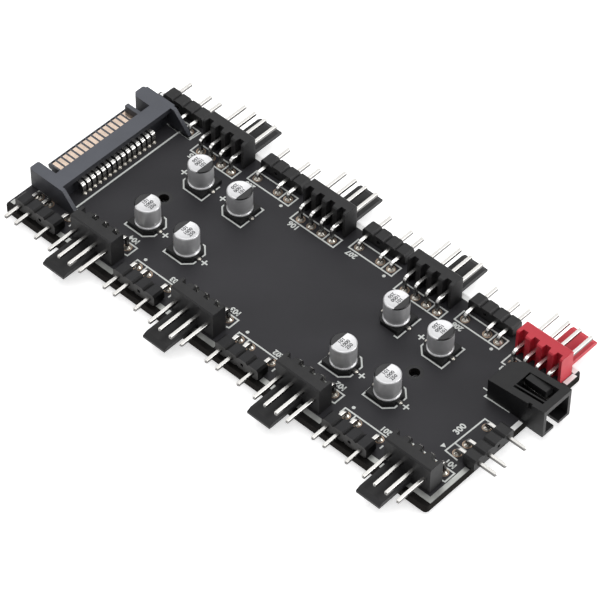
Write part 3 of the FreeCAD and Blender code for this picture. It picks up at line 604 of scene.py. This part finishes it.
def legend():
    """The printed outlines, dots and plus marks, at the places read from the photograph."""
    bm = bmesh.new()
    z = TOP + LIFT
    for number in range(1, GROUPS + 1):
        x = centre(f"fan_header_front_{number}")[0]
        add_stroke(bm, [(x - 5.27, -14.5), (x - 5.27, -12.08), (x + 5.27, -12.08), (x + 5.27, -14.5),
                        (x + 4.2, -14.7)], LINE, z)
        add_disc(bm, x + 4.1, -11.1, 0.24, z)
        x = centre(f"light_header_front_{number}")[0]
        add_stroke(bm, [(x - 5.0, -15.3), (x - 5.0, -14.0), (x + 4.9, -14.0)], LINE, z)
        add_stroke(bm, [(x - 2.5, -14.0), (x - 2.5, -15.2)], LINE, z + APART)
        add_stroke(bm, [(x + 5.25, -16.5), (x + 5.25, -15.9)], LINE, z)
        if number > 1:
            add_disc(bm, x - 4.0, -13.0, 0.34, z)
        x = centre(f"fan_header_back_{number}")[0]
        add_stroke(bm, [(x - 5.4, 12.0), (x + 5.1, 12.0), (x + 5.1, 14.4), (x - 5.4, 14.4)], LINE, z,
                   closed=True)
        add_stroke(bm, [(x + 2.4, 12.0), (x + 2.4, 14.4)], LINE, z + APART)
        x = centre(f"light_header_back_{number}")[0]
        add_stroke(bm, [(x - 5.2, 13.95), (x + 5.0, 13.95), (x + 5.0, 16.55), (x - 5.2, 16.55)], LINE,
                   z, closed=True)
        add_stroke(bm, [(x + 2.5, 13.95), (x + 2.5, 16.55)], LINE, z + APART)
        if number > 1:
            add_disc(bm, x + 4.0, 13.1, 0.34, z)

    # Beside the plug, the input header and the socket
    add_stroke(bm, [(-9.85, -12.3), (-9.85, 13.7)], 0.36, z)
    add_stroke(bm, [(-12.4, 13.9), (-7.0, 13.9), (-6.8, 16.4)], LINE, z)
    add_stroke(bm, [(78.6, -9.6), (75.9, -9.4), (76.2, 0.4), (78.2, 0.46)], LINE, z)
    add_stroke(bm, [(76.0, -7.1), (78.4, -7.1)], LINE, z + APART)
    add_polygon(bm, [(74.6, -8.3), (74.6, -9.3), (75.5, -8.8)], z)
    add_stroke(bm, [(71.6, 5.5), (73.15, 5.5), (72.9, 4.2), (78.2, 4.4)], LINE, z)

    # Round each capacitor, open at both leads, with a plus mark beyond one of them
    half = 3.0
    cut = 1.5
    open_side = 0.9
    mark_reach = 4.3
    arm = 0.55
    for number in range(1, CAPACITORS + 1):
        x, y = centre(f"capacitor_base_{number}")
        plus = plus_side(number)
        if number == 5:
            add_stroke(bm, [(x + 2.3, y - half), (x + half, y - half), (x + half, y - open_side)],
                       LINE, z)
            add_stroke(bm, [(x + half, y + open_side), (x + half, y + half)], LINE, z)
            continue
        for up in (-1, 1):
            straight = half if (number, up) != (1, 1) else open_side + 0.7
            corner = [(x - plus * half, y + up * open_side), (x - plus * half, y + up * straight)]
            if straight == half:
                corner += [(x + plus * (half - cut), y + up * half),
                           (x + plus * half, y + up * (half - cut)),
                           (x + plus * half, y + up * open_side)]
            add_stroke(bm, corner, LINE, z)
        mark = x + plus * mark_reach
        add_stroke(bm, [(mark - arm, y), (mark + arm, y)], LINE, z)
        add_stroke(bm, [(mark, y - arm), (mark, y + arm)], LINE, z + APART)
    finish_piece("legend_print", bm, SILK)
    rings = bmesh.new()
    for x in (0.0, 60.6):  # the two tooling holes
        add_ring(rings, x, 0, 1.03, 1.7, TOP + LIFT / 2)
    finish_piece("hole_rings", rings, KEEP)


def print_text(name, text, size, x, y, z, turn, material, bold=0.0):
    """Plain numbers, printed flat. The size is a line's height and bold widens its strokes, in mm."""
    curve = bpy.data.curves.new(name, "FONT")
    curve.body = text
    curve.size = size * MM
    curve.offset = bold * MM
    curve.align_x = "CENTER"
    curve.align_y = "CENTER"
    curve.resolution_u = 3
    words = bpy.data.objects.new(name + "_curve", curve)
    bpy.context.scene.collection.objects.link(words)
    bpy.context.view_layer.update()
    mesh = bpy.data.meshes.new_from_object(words.evaluated_get(bpy.context.evaluated_depsgraph_get()))
    bpy.data.objects.remove(words)
    piece = bpy.data.objects.new(name, mesh)
    mesh.transform(Matrix.Translation((x * MM, y * MM, z * MM))
                   @ Matrix.Rotation(math.radians(turn), 4, "Z"))
    bpy.context.scene.collection.objects.link(piece)
    mesh.materials.clear()
    mesh.materials.append(material)
    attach(piece, "root")
    return piece


def edge_strips():
    """The exposed tinned copper along the board's edges. At the back it reaches the board's edge, and
    there, with the short right-edge strips beside the back, it takes a lighter copy of the tin that
    paints light on it.
    """
    z = TOP + LIFT
    inner = 18.57
    outer = 19.65
    width = 0.95
    before = 0.75  # how far a strip stops before a header, and starts again after it
    after = 0.05
    shortest = 0.4
    # The back strips take the lighter copy of the tin, painted light; the front ones take the plain tin
    for edge, side, limit, finish in (("back", 1, BOARD_HIGH.y - 0.02, TIN_PAINTED_LIT),
                                      ("front", -1, outer, STRIP)):
        bm = bmesh.new()
        start = BOARD_LOW.x + 0.3
        for number in range(1, GROUPS + 1):
            low, high = corners(f"light_header_{edge}_{number}")
            end = low.x - before
            if end - start > shortest:
                add_polygon(bm, [(start, side * inner), (end, side * inner), (end, side * limit),
                                 (start, side * limit)][::side], z)
            start = high.x + after
        end = BOARD_HIGH.x - (0.1 if side < 0 else 0.7)
        add_polygon(bm, [(start, side * inner), (end, side * inner), (end, side * limit),
                         (start, side * limit)][::side], z)
        spans = [(1.5, 4.1), (15.75, 18.5)] if side > 0 else [(-outer + 0.05, -9.75)]
        right = BOARD_HIGH.x - 0.1
        for low_y, high_y in spans:
            add_polygon(bm, [(right - width, low_y), (right, low_y), (right, high_y),
                             (right - width, high_y)], z + APART)
        finish_piece(f"edge_tin_{edge}", bm, finish)


# A can's side below its straight wall, from its foot up: how far inside the wall, and how high
CAN_FOOT = [(0.13, 0.0), (-0.01, 0.10), (-0.06, 0.24), (-0.05, 0.36), (0.01, 0.45), (0.12, 0.51),
            (0.19, 0.58), (0.21, 0.72), (0.17, 0.95), (0.07, 1.20), (0.02, 1.38), (0.0, 1.60)]
CAN_RIM = 0.30  # radius of the rolled rim
CAN_CHORD = 1.0  # how far from the can's axis the black field begins


def capacitor_cans():
    """Each can with its flared foot, crimp and rolled rim, and the print on its top."""
    fields = bmesh.new()
    for number in range(1, CAPACITORS + 1):
        low, high = corners(f"capacitor_can_{number}")
        x, y = centre(f"capacitor_can_{number}")
        radius = (high.x - low.x) / 2
        profile = [(0, low.z)] + [(radius - inside, low.z + height) for inside, height in CAN_FOOT]
        profile.append((radius, high.z - CAN_RIM))
        for k in range(1, 6):
            angle = k * math.pi / 10
            profile.append((radius - CAN_RIM * (1 - math.cos(angle)),
                            high.z - CAN_RIM * (1 - math.sin(angle))))
        profile += [(radius - CAN_RIM - 0.08, high.z - 0.03), (0, high.z - 0.03)]
        plus = plus_side(number)
        can = bmesh.new()
        add_lathe(can, x, y, profile, 64)
        for face in can.faces:
            spot = face.calc_center_median()
            outer = math.hypot(spot.x - x, spot.y - y) > radius - CAN_RIM - 0.06
            if outer and spot.z > high.z - CAN_RIM and (spot.x - x) * plus < -CAN_CHORD:
                face.material_index = 1
        piece = finish_piece(f"can_{number}", can, CAN, smooth=True)
        piece.data.materials.append(INK)
        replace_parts(piece, f"capacitor_can_{number}")

        field = radius - CAN_RIM - 0.02
        half_angle = math.acos(CAN_CHORD / field)
        steps = 16
        points = []
        for k in range(steps + 1):
            angle = math.pi - half_angle + 2 * half_angle * k / steps
            points.append((x + plus * field * math.cos(angle), y + plus * field * math.sin(angle)))
        add_polygon(fields, points, high.z)
        turn = 90 if plus > 0 else -90
        first_row = -0.48
        row_pitch = 0.88
        for row, text in enumerate(("101", "1000", "250")):
            print_text(f"can_number_{number}_{row + 1}", text, 1.0,
                       x + plus * (first_row + row_pitch * row), y, high.z, turn, INK_GREY,
                       0.02)
    finish_piece("can_fields", fields, INK)


def labels():
    """A plain number beside each header, where the photograph has its name."""
    z = TOP + LIFT
    for number in range(1, GROUPS + 1):
        # Kind and edge of the header, its number, the size, the end it is measured from, offset and row
        for kind, edge, text, size, end, offset, y in (
            ("fan", "front", 105 - number, 1.6, 1, -1.6, -10.95),
            ("light", "front", 205 - number, 1.5, 1, -1.6, -13.0),
            ("fan", "back", 104 + number, 1.6, 0, 1.4, 11.1),
            ("light", "back", 204 + number, 1.5, 0, 1.4, 13.0),
        ):
            x = corners(f"{kind}_header_{edge}_{number}")[end].x + offset
            print_text(f"label_{kind}_{edge}_{number}", str(text), size, x, y, z, 180, SILK,
                       0.06)
    print_text("label_input", "300", 1.7, 74.6, -4.2, z, 90, SILK, 0.06)


# Finishes of the carried-over solids

give("circuit_board", BOARD)
give("plug_housing", GREY)
give("plug_contacts", CONTACT)
give("socket_housing", SOCKET)
give("socket_pins", PIN)
give("input_header", BLACK)
give("input_pins", PIN)
give("capacitor_leads", PIN)
for number in range(1, GROUPS + 1):
    for edge in ("front", "back"):
        give(f"fan_header_{edge}_{number}", RED if (edge, number) == ("back", GROUPS) else BLACK)
        give(f"fan_pins_{edge}_{number}", PIN)
        give(f"light_header_{edge}_{number}", LOW_BLACK if edge == "front" else BLACK)
        give(f"light_pins_{edge}_{number}", PIN)
for number in range(1, CAPACITORS + 1):
    give(f"capacitor_can_{number}", CAN)
    give(f"capacitor_base_{number}", BASE)

for node, (feet, direction) in pin_feet.items():
    pin_piece(node, feet, direction)
contact_piece()
solder_pieces()
legend()
edge_strips()
capacitor_cans()
labels()


# Floor, light and camera

CAMERA_TARGET = Vector((34.82, -1.25, TOP)) * MM
AZIMUTH = math.radians(42.722)
ELEVATION = math.radians(48.034)
ROLL = math.radians(-0.392)
DISTANCE = 0.5491
FOCAL_PIXELS = 3128.6  # the fitted focal length, in pixels of the photograph
PHOTO_PIXELS = 600
SENSOR = 36
TOWARDS = Vector((math.sin(AZIMUTH) * math.cos(ELEVATION), -math.cos(AZIMUTH) * math.cos(ELEVATION),
                  math.sin(ELEVATION)))


def studio():
    """A white floor just below the pin tails, a pale world and four soft lamps."""
    size = 40.0
    floor = bpy.data.objects.new("floor", bpy.data.meshes.new("floor"))
    bm = bmesh.new()
    for x, y in ((-1, -1), (1, -1), (1, 1), (-1, 1)):
        bm.verts.new((x * size / 2, y * size / 2, cad_box[0][2] - 0.02 * MM))
    bm.faces.new(bm.verts)
    bm.to_mesh(floor.data)
    bm.free()
    floor.data.materials.append(FLOOR)
    bpy.context.scene.collection.objects.link(floor)

    world = bpy.data.worlds.new("studio")
    world.use_nodes = True
    world.node_tree.nodes["Background"].inputs["Color"].default_value = (1, 1, 1, 1)
    world.node_tree.nodes["Background"].inputs["Strength"].default_value = 0.28
    bpy.context.scene.world = world

    # A softbox that the level faces mirror into the camera, a wide one overhead and one at each side:
    # power in watts, width in metres, and place from the camera's target
    mirrored = Vector((-TOWARDS.x, -TOWARDS.y, TOWARDS.z)) * 0.8
    for name, power, width, place in (
        ("softbox", 1.8, 0.7, mirrored),
        ("overhead", 4.6, 1.0, Vector((0.0, -0.05, 0.9))),
        ("side_left", 1.1, 0.45, Vector((-0.50, -0.46, 0.24))),
        ("side_right", 3.0, 0.45, Vector((0.54, 0.42, 0.24))),
    ):
        lamp = bpy.data.lights.new(name, "AREA")
        lamp.energy = power
        lamp.size = width
        holder = bpy.data.objects.new(name, lamp)
        holder.location = place + CAMERA_TARGET
        holder.rotation_euler = (-place).to_track_quat("-Z", "Y").to_euler()
        bpy.context.scene.collection.objects.link(holder)


def camera():
    """The camera that was fitted to the photograph."""
    right = Vector((math.cos(AZIMUTH), math.sin(AZIMUTH), 0))
    up = TOWARDS.cross(right)
    turned_right = right * math.cos(ROLL) - up * math.sin(ROLL)
    turned_up = right * math.sin(ROLL) + up * math.cos(ROLL)
    data = bpy.data.cameras.new("camera")
    data.sensor_width = SENSOR
    data.lens = FOCAL_PIXELS / PHOTO_PIXELS * SENSOR
    data.clip_end = 10
    holder = bpy.data.objects.new("camera", data)
    holder.matrix_world = Matrix.Translation(CAMERA_TARGET + TOWARDS * DISTANCE) @ Matrix(
        (turned_right, turned_up, TOWARDS)).transposed().to_4x4()
    bpy.context.scene.collection.objects.link(holder)
    bpy.context.scene.camera = holder


studio()
camera()
bpy.context.scene.view_settings.view_transform = "Standard"
